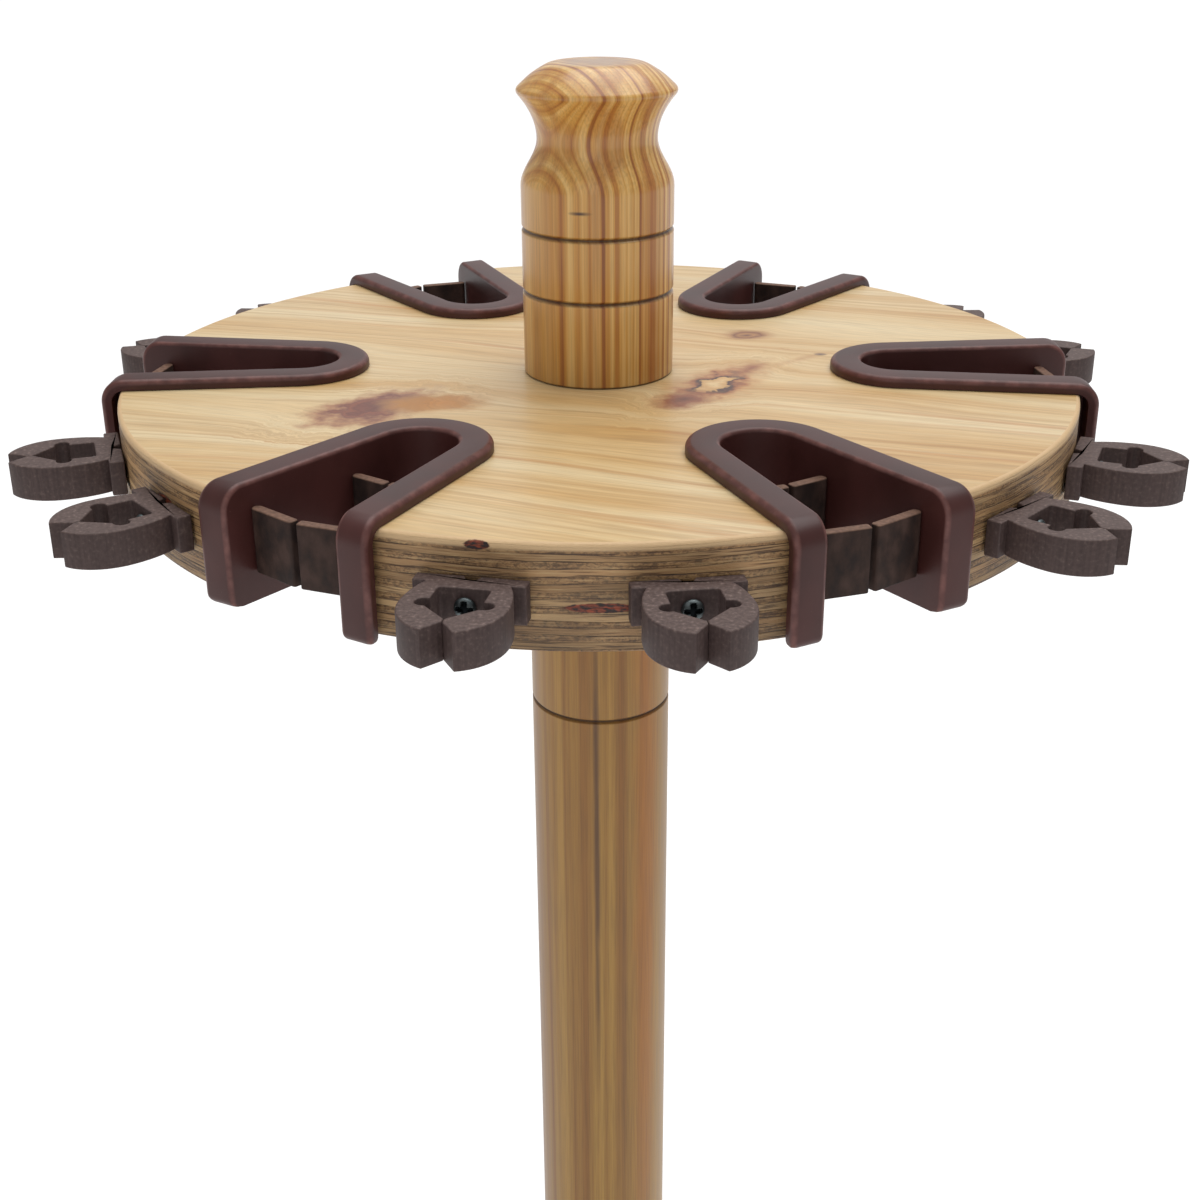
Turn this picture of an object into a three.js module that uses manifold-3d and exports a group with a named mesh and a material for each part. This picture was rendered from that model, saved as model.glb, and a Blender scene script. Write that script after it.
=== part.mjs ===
// Round floor rack for long shafts: a turned post on a round base carries a plywood disc.
// Six tapered slots in the disc are lined by moulded hangers with pairs of rubber flaps,
// and twelve spring clips are screwed to its rim. A turned knob is the carrying handle.
//
// Millimetres, +Z up. The origin is on the floor, at the centre of the base.
// Each slot has a frame of its own: +X runs out along the slot, +Z is up, and z = 0 is the disc's top face.

import * as THREE from "three";
import { mergeVertices } from "three/addons/utils/BufferGeometryUtils.js";
import Module from "manifold-3d";

const wasm = await Module();
wasm.setup();

// ---- Driving dimensions ----

const CLEARANCE = 0.3; // between pieces that touch
const DISC_TOP = 800; // height of the disc's top face above the floor

const DISC_RADIUS = 190;
const DISC_THICKNESS = 37;
const DISC_EDGE = 1.6; // rounding of the rim's two edges

const BASE_RADIUS = 190;
const BASE_THICKNESS = 37;
const BASE_EDGE = 4;

const POST_RADIUS = 30;
const POST_EDGE = 1.2;
const POST_GROOVE_DROP = 110; // from the disc's underside down to the turned groove
const GROOVE_WIDTH = 2.2;
const GROOVE_DEPTH = 1.1;

const KNOB_RADIUS = 30;
const KNOB_LOWER_GROOVE = 33.5; // heights above the disc
const KNOB_UPPER_GROOVE = 58;
const KNOB_SHOULDER = 74;
const KNOB_NECK = 92;
const KNOB_CROWN = 110;
const KNOB_HEIGHT = 120;
const KNOB_NECK_RADIUS = 23.4;
const KNOB_CROWN_RADIUS = 31.8;
const KNOB_TOP_RADIUS = 18.2;
const KNOB_FLARE_POWER = 2; // how late the neck spreads out to the crown

const STUD_RADIUS = 4;
const STUD_IN_KNOB = 28;
const STUD_IN_POST = 45;
const STUD_IN_BASE = 26;

const SLOT_COUNT = 6;
const SLOT_LENGTH = 69; // from the rim in to the centre of the slot's round end
const SLOT_END_RADIUS = 14.6; // clear opening, inside the hanger
const SLOT_FLARE = THREE.MathUtils.degToRad(6.6); // of each side

const HANGER_WALL = 3;
const HANGER_FLANGE = 12.4; // width of the flange, measured from the opening
const HANGER_RISE = 4.4; // above the disc
const HANGER_DROP = 1.2; // below the disc's underside
const HANGER_FRONT = 4.4; // thickness of the flange in front of the rim
const HANGER_BEND = 9; // rounding where the flange turns down over the rim
const HANGER_FOOT_ROUND = 3.5;

const FLAP_THICKNESS = 4;
const FLAP_HEIGHT = 23;
const OUTER_FLAP_DROP = 4.6; // from the disc's top down to the flap's top
const INNER_FLAP_DROP = 6.3;
const FLAP_TIP_GAP = 1; // between the two flaps of a pair
const FLAP_TIP_ROUND = 1;
const OUTER_FLAP_INSET = 7.5; // from the rim in to the hinge line
const INNER_FLAP_INSET = 53;
const OUTER_FLAP_TILT = THREE.MathUtils.degToRad(10); // towards the mouth
const INNER_FLAP_TILT = THREE.MathUtils.degToRad(5);

const CLIPS_PER_GAP = 2; // between two neighbouring slots
const CLIP_SPREAD = THREE.MathUtils.degToRad(20); // between the two clips of a gap
const CLIP_HEIGHT = 13;
const CLIP_PLATE_WIDTH = 36.5;
const CLIP_PLATE_THICKNESS = 5.5;
const CLIP_RELIEF_WIDTH = 5.5; // of the groove down the middle of the plate's rim side
const CLIP_RELIEF_DEPTH = 3;
const CLIP_NECK_HALF_WIDTH = 13.6; // of the ring where it leaves the plate
const CLIP_RING_HALF_WIDTH = 17.2;
const CLIP_RING_MIDDLE = 22; // from the plate's rim side to the ring's widest place
const CLIP_RING_FRONT = 19.6; // from the widest place to the front of the ring's curve
const CLIP_BACK = 9.5; // from the plate's rim side to the back wall of the opening
const CLIP_OPENING_HALF_WIDTH = 8.4;
const CLIP_OPENING_SIDE = 9; // length of the straight sides of the opening
const CLIP_NOTCH_RADIUS = 2.7;
const CLIP_NOTCH_REACH = 12.4; // from the middle of the clip to the end of a flex notch
const CLIP_THROAT = 32; // from the plate's rim side to the inner end of the narrow gap
const CLIP_THROAT_LENGTH = 2.2;
const CLIP_THROAT_GAP = 0.8;
const CLIP_LIP_HALF_WIDTH = 5;

const SCREW_RADIUS = 1.8;
const SCREW_HEAD_RADIUS = 3.6;
const SCREW_HEAD_HEIGHT = 2.2;
const SCREW_LENGTH = 26;

const ROUND_FACES = 72; // of the discs
const POST_FACES = 40;
const STUD_FACES = 14;
const SCREW_FACES = 12;
const ARC_STEPS = 6;
const FINE_ARC_STEPS = 3 * ARC_STEPS;
const SMALL_ARC_STEPS = 2;
const PROFILE_STEPS = 5; // along each curve of the knob's neck
const CUT_BEYOND = 1; // how far a cutting body stands past the face it cuts

// ---- Materials ----

const finish = (color, roughness, metalness = 0) =>
  new THREE.MeshStandardMaterial({ color, roughness, metalness });
const plywood = finish(0xd9b98a, 0.5);
const turnedPost = finish(0xb78d52, 0.45);
const turnedKnob = finish(0xc58a4a, 0.35);
const hangerPlastic = finish(0x4a3131, 0.38);
const flapRubber = finish(0x3b302b, 0.7);
const clipPlastic = finish(0x5b4c4b, 0.65);
const zincSteel = finish(0xb9bcc0, 0.35, 1);

// ---- Solids ----

/** A closed three.js geometry as a solid that can be joined and cut. */
function solidOf(geometry) {
  const bare = geometry.clone();
  bare.deleteAttribute("normal");
  bare.deleteAttribute("uv");
  const merged = mergeVertices(bare, 1e-4);
  return new wasm.Manifold(
    new wasm.Mesh({
      numProp: 3,
      vertProperties: merged.attributes.position.array,
      triVerts: new Uint32Array(merged.index.array),
    }),
  );
}

/** A named mesh of a solid. */
function meshOf(name, solid, material) {
  const { vertProperties, triVerts } = solid.getMesh();
  const geometry = new THREE.BufferGeometry()
    .setAttribute("position", new THREE.BufferAttribute(vertProperties, 3))
    .setIndex(new THREE.BufferAttribute(triVerts, 1));
  geometry.computeVertexNormals();
  const mesh = new THREE.Mesh(geometry, material.clone());
  mesh.name = name;
  return mesh;
}

/** A body turned about Z from [radius, height] points that start and end on the axis, lowest first. */
function turned(profile, faces) {
  const points = profile.map(([radius, height]) => new THREE.Vector2(radius, height));
  return solidOf(new THREE.LatheGeometry(points, faces).rotateX(Math.PI / 2));
}

/** A plain round bar about Z from z = low to z = high. */
function bar(radius, low, high, faces) {
  return turned([[0, low], [radius, low], [radius, high], [0, high]], faces);
}

/** An outline in the XY plane, raised from z = low to z = high. */
function raised(points, low, high) {
  const shape = new THREE.Shape(points.map(([x, y]) => new THREE.Vector2(x, y)));
  const geometry = new THREE.ExtrudeGeometry(shape, { depth: high - low, bevelEnabled: false });
  return geometry.translate(0, 0, low);
}

/** Points of an arc about (x, y), from one angle to another, both ends included. */
function arc(x, y, radius, from, to, steps = ARC_STEPS, stretch = 1) {
  return Array.from({ length: steps + 1 }, (_, i) => {
    const angle = from + ((to - from) * i) / steps;
    return [x + radius * Math.cos(angle), y + radius * stretch * Math.sin(angle)];
  });
}

const mirrored = (points) => points.map(([x, y]) => [x, -y]).reverse();

// ---- Turned wooden pieces ----

/** A V groove in the side of a turned body, as three profile points going up. */
const groove = (radius, height) => [
  [radius, height - GROOVE_WIDTH / 2],
  [radius - GROOVE_DEPTH, height],
  [radius, height + GROOVE_WIDTH / 2],
];

function makeBase() {
  const radius = BASE_RADIUS - BASE_EDGE;
  const topEdge = arc(radius, BASE_THICKNESS - BASE_EDGE, BASE_EDGE, 0, Math.PI / 2, SMALL_ARC_STEPS);
  const body = turned(
    [
      [0, 0],
      [BASE_RADIUS - BASE_EDGE / 2, 0],
      [BASE_RADIUS, BASE_EDGE / 2],
      ...topEdge,
      [0, BASE_THICKNESS],
    ],
    ROUND_FACES,
  );
  const bore = bar(
    STUD_RADIUS + CLEARANCE,
    BASE_THICKNESS - STUD_IN_BASE - CLEARANCE,
    BASE_THICKNESS + CUT_BEYOND,
    STUD_FACES,
  );
  return meshOf("base_disc", body.subtract(bore), plywood);
}

const POST_LOW = BASE_THICKNESS + CLEARANCE;
const POST_HIGH = DISC_TOP - DISC_THICKNESS - CLEARANCE;

function makePost() {
  const body = turned(
    [
      [0, POST_LOW],
      [POST_RADIUS - POST_EDGE, POST_LOW],
      [POST_RADIUS, POST_LOW + POST_EDGE],
      ...groove(POST_RADIUS, DISC_TOP - DISC_THICKNESS - POST_GROOVE_DROP),
      [POST_RADIUS, POST_HIGH - POST_EDGE],
      [POST_RADIUS - POST_EDGE, POST_HIGH],
      [0, POST_HIGH],
    ],
    POST_FACES,
  );
  const radius = STUD_RADIUS + CLEARANCE;
  const depth = STUD_IN_POST + CLEARANCE;
  const lowBore = bar(radius, POST_LOW - CUT_BEYOND, POST_LOW + depth, STUD_FACES);
  const highBore = bar(radius, POST_HIGH - depth, POST_HIGH + CUT_BEYOND, STUD_FACES);
  return meshOf("post", body.subtract(lowBore).subtract(highBore), turnedPost);
}

/** The knob's neck: half a cosine in from the shoulder, then a steepening curve out to the crown. */
function knobNeck() {
  const shares = Array.from({ length: PROFILE_STEPS }, (_, i) => i / PROFILE_STEPS);
  const waist = KNOB_RADIUS - KNOB_NECK_RADIUS;
  const flare = KNOB_CROWN_RADIUS - KNOB_NECK_RADIUS;
  const dip = shares.map((t) => [
    KNOB_RADIUS - (waist * (1 - Math.cos(Math.PI * t))) / 2,
    DISC_TOP + KNOB_SHOULDER + (KNOB_NECK - KNOB_SHOULDER) * t,
  ]);
  const spread = shares.map((t) => [
    KNOB_NECK_RADIUS + flare * t ** KNOB_FLARE_POWER,
    DISC_TOP + KNOB_NECK + (KNOB_CROWN - KNOB_NECK) * t,
  ]);
  return [...dip, ...spread];
}

function makeKnob() {
  const low = DISC_TOP + CLEARANCE;
  const body = turned(
    [
      [0, low],
      [KNOB_RADIUS, low],
      ...groove(KNOB_RADIUS, DISC_TOP + KNOB_LOWER_GROOVE),
      ...groove(KNOB_RADIUS, DISC_TOP + KNOB_UPPER_GROOVE),
      ...knobNeck(),
      [KNOB_CROWN_RADIUS, DISC_TOP + KNOB_CROWN],
      [KNOB_TOP_RADIUS, DISC_TOP + KNOB_HEIGHT],
      [0, DISC_TOP + KNOB_HEIGHT],
    ],
    POST_FACES,
  );
  const bore = bar(
    STUD_RADIUS + CLEARANCE,
    DISC_TOP - CUT_BEYOND,
    DISC_TOP + STUD_IN_KNOB + 2 * CLEARANCE,
    STUD_FACES,
  );
  return meshOf("knob", body.subtract(bore), turnedKnob);
}

// ---- Studs: one holds the knob, disc and post together, one holds the post to the base ----

function makeStuds() {
  const top = bar(STUD_RADIUS, POST_HIGH - STUD_IN_POST, DISC_TOP + STUD_IN_KNOB, STUD_FACES);
  const low = bar(STUD_RADIUS, BASE_THICKNESS - STUD_IN_BASE, POST_LOW + STUD_IN_POST, STUD_FACES);
  return [meshOf("knob_stud", top, zincSteel), meshOf("base_stud", low, zincSteel)];
}

// ---- Slots ----

const SLOT_CENTRE = DISC_RADIUS - SLOT_LENGTH;
const FRONT_FACE = DISC_RADIUS + CLEARANCE + HANGER_FRONT;
const HANGER_LOW = -DISC_THICKNESS - HANGER_DROP;

/** Half the width, at a distance x from the post's axis, of the outline whose round end has this radius. */
const halfWidth = (endRadius, x) =>
  (endRadius + (x - SLOT_CENTRE) * Math.sin(SLOT_FLARE)) / Math.cos(SLOT_FLARE);

/** One slot outline: straight flared sides, tangent to a round inner end, cut off square at x = reach. */
function slotOutline(endRadius, reach) {
  const tangent = Math.PI / 2 + SLOT_FLARE;
  return [
    [reach, halfWidth(endRadius, reach)],
    ...arc(SLOT_CENTRE, 0, endRadius, tangent, 2 * Math.PI - tangent, FINE_ARC_STEPS),
    [reach, -halfWidth(endRadius, reach)],
  ];
}

/** The solid between two slot outlines, open at the mouth. */
function slotBand(inner, outer, low, high) {
  const outside = solidOf(raised(slotOutline(outer, FRONT_FACE), low, high));
  const cutter = slotOutline(inner, FRONT_FACE + CUT_BEYOND);
  const inside = solidOf(raised(cutter, low - CUT_BEYOND, high + CUT_BEYOND));
  return outside.subtract(inside);
}

/** A side view drawn as [x, z] points, carried across the slot's whole width. */
function sideways(points) {
  const reach = 2 * halfWidth(SLOT_END_RADIUS + HANGER_FLANGE, FRONT_FACE);
  return solidOf(raised(points, -reach, reach).rotateX(Math.PI / 2));
}

/** The front of the hanger seen from the side: a rounded foot, then the bend over the rim. */
function hangerFront() {
  const foot = HANGER_FOOT_ROUND;
  return [
    ...arc(FRONT_FACE - foot, HANGER_LOW + foot, foot, -Math.PI / 2, 0),
    ...arc(FRONT_FACE - HANGER_BEND, HANGER_RISE - HANGER_BEND, HANGER_BEND, 0, Math.PI / 2),
  ];
}

/** A flange that lies on the disc and turns down over the rim, and a wall that lines the slot. */
function makeHanger(name) {
  const inner = SLOT_END_RADIUS;
  const outer = SLOT_END_RADIUS + HANGER_FLANGE;
  const low = HANGER_LOW - CUT_BEYOND;
  const high = HANGER_RISE + CUT_BEYOND;
  const back = SLOT_CENTRE - 2 * outer;
  const rim = DISC_RADIUS + CLEARANCE;
  const topSide = [[back, HANGER_RISE], [back, CLEARANCE], [rim, CLEARANCE]];
  const flangeSide = sideways([[rim, HANGER_LOW], ...hangerFront(), ...topSide]);
  const wallSide = sideways([[back, HANGER_LOW], ...hangerFront(), [back, HANGER_RISE]]);
  const flange = slotBand(inner, outer, low, high).intersect(flangeSide);
  const wall = slotBand(inner, inner + HANGER_WALL, low, high).intersect(wallSide);
  return meshOf(name, flange.add(wall), hangerPlastic);
}

/** One flap, hinged at its round root beside the slot wall, on the slot's +Y side (1) or its other (-1). */
function makeFlap(name, { inset, drop, tilt }, side) {
  const half = FLAP_THICKNESS / 2;
  const x = DISC_RADIUS - inset;
  const fromMiddle = halfWidth(SLOT_END_RADIUS, x) - (half + CLEARANCE) / Math.cos(SLOT_FLARE);
  const length = (fromMiddle - FLAP_TIP_GAP / 2 - half * Math.sin(tilt)) / Math.cos(tilt);
  const tip = length - FLAP_TIP_ROUND;
  const plate = [
    ...arc(0, 0, half, Math.PI / 2, (3 * Math.PI) / 2),
    ...arc(tip, FLAP_TIP_ROUND - half, FLAP_TIP_ROUND, -Math.PI / 2, 0, SMALL_ARC_STEPS),
    ...arc(tip, half - FLAP_TIP_ROUND, FLAP_TIP_ROUND, 0, Math.PI / 2, SMALL_ARC_STEPS),
  ];
  const mesh = meshOf(name, solidOf(raised(plate, -drop - FLAP_HEIGHT, -drop)), flapRubber);
  mesh.position.set(x, side * fromMiddle, 0);
  mesh.rotation.z = side * (tilt - Math.PI / 2);
  return mesh;
}

const OUTER_FLAP = { inset: OUTER_FLAP_INSET, drop: OUTER_FLAP_DROP, tilt: OUTER_FLAP_TILT };
const INNER_FLAP = { inset: INNER_FLAP_INSET, drop: INNER_FLAP_DROP, tilt: INNER_FLAP_TILT };

/** A hanger and its four flaps, in the slot's own frame. */
function makeSlot(number) {
  const slot = new THREE.Group();
  slot.add(makeHanger(`hanger_${number}`));
  for (const [hand, side] of [["left", 1], ["right", -1]]) {
    slot.add(makeFlap(`outer_flap_${number}_${hand}`, OUTER_FLAP, side));
    slot.add(makeFlap(`inner_flap_${number}_${hand}`, INNER_FLAP, side));
  }
  return slot;
}

// ---- Rim clips, in a frame whose +X runs out from the rim at x = 0, and z = 0 at the clip's top ----

/** The +Y half of the clip's opening, from the throat in to the back wall. */
function clipOpening() {
  const sideEnd = CLIP_BACK + CLIP_OPENING_SIDE;
  const notch = sideEnd + CLIP_NOTCH_RADIUS;
  return [
    [CLIP_THROAT, CLIP_THROAT_GAP / 2],
    [notch + CLIP_NOTCH_RADIUS, CLIP_OPENING_HALF_WIDTH],
    ...arc(notch, CLIP_NOTCH_REACH - CLIP_NOTCH_RADIUS, CLIP_NOTCH_RADIUS, 0, Math.PI),
    [sideEnd, CLIP_OPENING_HALF_WIDTH],
    [CLIP_BACK, CLIP_OPENING_HALF_WIDTH],
  ];
}

/** The +Y half of the ring's outside: two quarter ellipses that meet where the ring is widest. */
function clipOutside() {
  const neckAngle = Math.PI - Math.asin(CLIP_NECK_HALF_WIDTH / CLIP_RING_HALF_WIDTH);
  const lipAngle = Math.asin(CLIP_LIP_HALF_WIDTH / CLIP_RING_HALF_WIDTH);
  const back = (CLIP_RING_MIDDLE - CLIP_PLATE_THICKNESS) / -Math.cos(neckAngle);
  const quarter = (depth, from, to) =>
    arc(CLIP_RING_MIDDLE, 0, depth, from, to, ARC_STEPS, CLIP_RING_HALF_WIDTH / depth);
  return [
    ...quarter(back, neckAngle, Math.PI / 2),
    ...quarter(CLIP_RING_FRONT, Math.PI / 2, lipAngle).slice(1),
  ];
}

/** The +Y half of the whole clip, from the middle of the plate's back round to the opening's back wall. */
function clipHalf() {
  return [
    [CLIP_RELIEF_DEPTH, CLIP_RELIEF_WIDTH / 4],
    [0, CLIP_RELIEF_WIDTH / 2],
    [0, CLIP_PLATE_WIDTH / 2],
    [CLIP_PLATE_THICKNESS, CLIP_PLATE_WIDTH / 2],
    ...clipOutside(),
    [CLIP_THROAT + CLIP_THROAT_LENGTH, CLIP_THROAT_GAP / 2],
    ...clipOpening(),
  ];
}

/** A body turned from a profile, laid down along the clip's +X at half its height. */
function lyingOut(profile) {
  const points = profile.map(([radius, x]) => new THREE.Vector2(radius, x));
  const geometry = new THREE.LatheGeometry(points, SCREW_FACES).rotateZ(-Math.PI / 2);
  return solidOf(geometry.translate(0, 0, -CLIP_HEIGHT / 2));
}

function makeClip(name) {
  const half = clipHalf();
  const body = solidOf(raised([...half, ...mirrored(half)], -CLIP_HEIGHT, 0));
  const radius = SCREW_RADIUS + CLEARANCE;
  const [low, high] = [-CUT_BEYOND, CLIP_BACK + CUT_BEYOND];
  const bore = lyingOut([[0, low], [radius, low], [radius, high], [0, high]]);
  return meshOf(name, body.subtract(bore), clipPlastic);
}

/** The pan head screw through a clip's back wall into the rim. */
function makeClipScrew(name) {
  const seat = CLIP_BACK + CLEARANCE;
  const screw = lyingOut([
    [0, seat - SCREW_LENGTH],
    [SCREW_RADIUS, seat - SCREW_LENGTH + SCREW_RADIUS],
    [SCREW_RADIUS, seat],
    [SCREW_HEAD_RADIUS, seat],
    [SCREW_HEAD_RADIUS, seat + SCREW_HEAD_HEIGHT / 2],
    [SCREW_HEAD_RADIUS / 2, seat + SCREW_HEAD_HEIGHT],
    [0, seat + SCREW_HEAD_HEIGHT],
  ]);
  return meshOf(name, screw, zincSteel);
}

/** A clip and its screw, in the clip's own frame. */
function makeClipSet(number) {
  const set = new THREE.Group();
  set.add(makeClip(`clip_${number}`), makeClipScrew(`clip_screw_${number}`));
  return set;
}

// ---- Disc ----

const slotAngle = (index) => (2 * Math.PI * index) / SLOT_COUNT;

/** The angle of each clip: the clips of a gap are spread evenly about its middle. */
const clipAngles = Array.from({ length: SLOT_COUNT * CLIPS_PER_GAP }, (_, i) => {
  const gap = Math.floor(i / CLIPS_PER_GAP);
  const place = (i % CLIPS_PER_GAP) - (CLIPS_PER_GAP - 1) / 2;
  return slotAngle(gap + 0.5) + place * CLIP_SPREAD;
});

const CLIP_REACH = DISC_RADIUS + CLEARANCE; // radius of the plates' rim sides
const CLIP_TOP = DISC_TOP - (DISC_THICKNESS - CLIP_HEIGHT) / 2; // the clips sit half way down the rim

function makeDisc() {
  let body = turned(
    [
      [0, -DISC_THICKNESS],
      [DISC_RADIUS - DISC_EDGE, -DISC_THICKNESS],
      [DISC_RADIUS, -DISC_THICKNESS + DISC_EDGE],
      [DISC_RADIUS, -DISC_EDGE],
      [DISC_RADIUS - DISC_EDGE, 0],
      [0, 0],
    ],
    ROUND_FACES,
  ).subtract(bar(STUD_RADIUS + CLEARANCE, -DISC_THICKNESS - CUT_BEYOND, CUT_BEYOND, STUD_FACES));

  const slotRadius = SLOT_END_RADIUS + HANGER_WALL + CLEARANCE;
  const outline = slotOutline(slotRadius, FRONT_FACE);
  for (let i = 0; i < SLOT_COUNT; i++) {
    const slot = raised(outline, -DISC_THICKNESS - CUT_BEYOND, CUT_BEYOND);
    body = body.subtract(solidOf(slot.rotateZ(slotAngle(i))));
  }

  const pilot = SCREW_RADIUS + CLEARANCE;
  const depth = SCREW_LENGTH - CLIP_BACK + CLEARANCE;
  for (const angle of clipAngles) {
    const bore = new THREE.CylinderGeometry(pilot, pilot, 2 * depth, SCREW_FACES)
      .rotateZ(Math.PI / 2)
      .translate(CLIP_REACH, 0, -DISC_THICKNESS / 2)
      .rotateZ(angle);
    body = body.subtract(solidOf(bore));
  }
  const disc = meshOf("top_disc", body, plywood);
  disc.position.z = DISC_TOP;
  return disc;
}

// ---- Assembly ----

const rack = new THREE.Group();
rack.add(makeBase(), makePost(), makeDisc(), makeKnob(), ...makeStuds());

for (let i = 0; i < SLOT_COUNT; i++) {
  const slot = makeSlot(i + 1);
  slot.position.z = DISC_TOP;
  slot.rotation.z = slotAngle(i);
  rack.add(slot);
}

clipAngles.forEach((angle, i) => {
  const set = makeClipSet(i + 1);
  set.position.set(CLIP_REACH * Math.cos(angle), CLIP_REACH * Math.sin(angle), CLIP_TOP);
  set.rotation.z = angle;
  rack.add(set);
});

export default rack;
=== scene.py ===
"""Round floor rack for long shafts: the looks of its wood, slot hangers, flaps, rim clips and screws."""
import math
from functools import partial

import bmesh
import bpy
import numpy as np
from mathutils import Matrix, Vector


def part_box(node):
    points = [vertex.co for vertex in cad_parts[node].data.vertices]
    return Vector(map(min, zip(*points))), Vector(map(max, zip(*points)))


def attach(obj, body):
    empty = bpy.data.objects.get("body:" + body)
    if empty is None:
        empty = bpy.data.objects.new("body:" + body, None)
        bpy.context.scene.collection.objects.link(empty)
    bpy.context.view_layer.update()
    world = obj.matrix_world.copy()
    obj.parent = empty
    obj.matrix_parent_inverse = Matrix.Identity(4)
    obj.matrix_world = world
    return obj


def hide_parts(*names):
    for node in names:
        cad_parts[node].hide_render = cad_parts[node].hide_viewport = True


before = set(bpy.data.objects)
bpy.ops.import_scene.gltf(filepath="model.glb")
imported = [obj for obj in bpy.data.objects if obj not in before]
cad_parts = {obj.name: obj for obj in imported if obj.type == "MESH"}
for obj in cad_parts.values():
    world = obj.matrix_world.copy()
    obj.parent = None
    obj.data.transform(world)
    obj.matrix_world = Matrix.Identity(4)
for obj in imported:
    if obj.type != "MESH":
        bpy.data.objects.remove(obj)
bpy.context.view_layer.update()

MM = 0.001

# ---- Sizes in millimetres: the CAD model's own, and finer ones that it leaves out ----

DISC_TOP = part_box("top_disc")[1].z / MM
DISC_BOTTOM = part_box("top_disc")[0].z / MM
DISC_RADIUS = 190.0
DISC_EDGE = 1.6
CLEARANCE = 0.3

BASE_LOWER_EDGE = 2.0
BASE_UPPER_EDGE = 4.0

POST_RADIUS = 30.0
POST_EDGE = 1.2
POST_GROOVE = DISC_BOTTOM - 110.0  # height of its turned groove
GROOVE_WIDTH = 2.2
GROOVE_DEPTH = 1.1
GROOVE_ROUNDS = [0.35, 0.3, 0.35]  # roundings of a groove's lower edge, floor and upper edge

KNOB_RADIUS = 30.0
KNOB_EDGE = 0.8
KNOB_LOWER_GROOVE = DISC_TOP + 33.5
KNOB_UPPER_GROOVE = DISC_TOP + 58.0
KNOB_SHOULDER = DISC_TOP + 74.0
KNOB_NECK = DISC_TOP + 92.0
KNOB_CROWN = DISC_TOP + 110.0
KNOB_BROW = DISC_TOP + 115.6  # where the crown's lower cone meets its upper one
KNOB_NECK_RADIUS = 23.4
KNOB_CROWN_RADIUS = 31.8
KNOB_BROW_RADIUS = 25.6
KNOB_TOP_RADIUS = 18.2
KNOB_CROWN_ROUNDS = [2.2, 2.6, 3.0]  # roundings of the crown, the brow and the top's edge

SLOT_COUNT = 6
SLOT_PITCH = 2 * math.pi / SLOT_COUNT
SLOT_CENTRE = DISC_RADIUS - 69.0  # centre of each slot's round end
SLOT_END_RADIUS = 14.6
SLOT_FLARE = math.radians(6.6)

HANGER_WALL = 3.0
HANGER_FLANGE = 12.4
HANGER_RISE = 4.4
HANGER_BEND = 9.0
HANGER_BACK = DISC_RADIUS + CLEARANCE  # the front flange's face against the rim
HANGER_FRONT = HANGER_BACK + 4.4
HANGER_FOOT_ROUND = 3.5
HANGER_INNER_ROUND = 1.7
HANGER_OUTER_ROUND = 2.3

FLAP_THICKNESS = 4.0
FLAP_TIP_GAP = 1.0  # between the two flaps of a pair
FLAP_TIP_ROUND = 1.0
FLAP_EDGE = 0.45
FLAP_RUB = 0.2  # how far down from the upper edge the rubber is well rubbed

CLIP_SPREAD = math.radians(20)  # between the two clips of a gap
CLIP_REACH = DISC_RADIUS + CLEARANCE
CLIP_EDGE = 0.5
CLIP_PLATE_HALF_WIDTH = 18.25
CLIP_PLATE_THICKNESS = 5.5
CLIP_PLATE_ROUND = 0.5
CLIP_RELIEF_HALF_WIDTH = 2.75
CLIP_RELIEF_DEPTH = 3.0
CLIP_NECK_HALF_WIDTH = 13.6
CLIP_RING_HALF_WIDTH = 17.2
CLIP_RING_MIDDLE = 22.0  # from the rim to the ring's widest place
CLIP_RING_FRONT = 19.6  # from there to the front of the ring's curve
CLIP_BACK = 9.5  # from the rim to the back wall of the opening
CLIP_BACK_ROUND = 1.2
CLIP_OPENING_HALF_WIDTH = 8.4
CLIP_OPENING_SIDE = 9.0
CLIP_NOTCH_RADIUS = 2.7
CLIP_NOTCH_REACH = 12.4
CLIP_THROAT = 32.0
CLIP_THROAT_LENGTH = 2.2
CLIP_THROAT_HALF_GAP = 0.08  # nearly shut, where the CAD model leaves more room
CLIP_LIP_HALF_WIDTH = 5.0

SCREW_RADIUS = 1.8
SCREW_LENGTH = 26.0
SCREW_TIP_RADIUS = 0.3
SCREW_NECK = 0.05  # a short step that keeps the shank straight up to the head
SCREW_HEAD_RADIUS = 3.6
SCREW_HEAD_EDGE = 0.15
SCREW_HEAD_RISE = 0.5  # from the seat to the foot of the head's dome
SCREW_DOME = 1.7
SCREW_DOME_END = 0.12  # radius of the small face that closes the dome
RECESS_HALF_WIDTH = 1.0
RECESS_SLOPE = 0.3
RECESS_REACH = 2.9
RECESS_END = 0.5
RECESS_DEPTH = 1.3

LATHE_END = 1.0  # radius of the small face that closes a lathe's end
KNOB_FACES = 160
POST_FACES = 144
BASE_FACES = 256
SCREW_FACES = 48
EDGE_STEPS = 4


# ---- Arrays of points ----


def arc(centre, radius, start, end, steps, stretch=1.0):
    """Points centre + radius (cos a, stretch sin a), with a going evenly from start to end."""
    a = np.linspace(start, end, steps + 1)
    return np.stack([centre[0] + radius * np.cos(a), centre[1] + radius * stretch * np.sin(a)], -1)


def turned_by(points, angle):
    """Points of the XY plane turned about the origin; a height that comes with them is kept."""
    c, s = math.cos(angle), math.sin(angle)
    out = np.array(points, float)
    x, y = out[..., 0].copy(), out[..., 1].copy()
    out[..., 0], out[..., 1] = c * x - s * y, s * x + c * y
    return out


def mirrored(points):
    """The outline's other half: y changes sign, and the order is reversed so that both run one way round."""
    return (points * [1.0, -1.0])[::-1]


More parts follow.
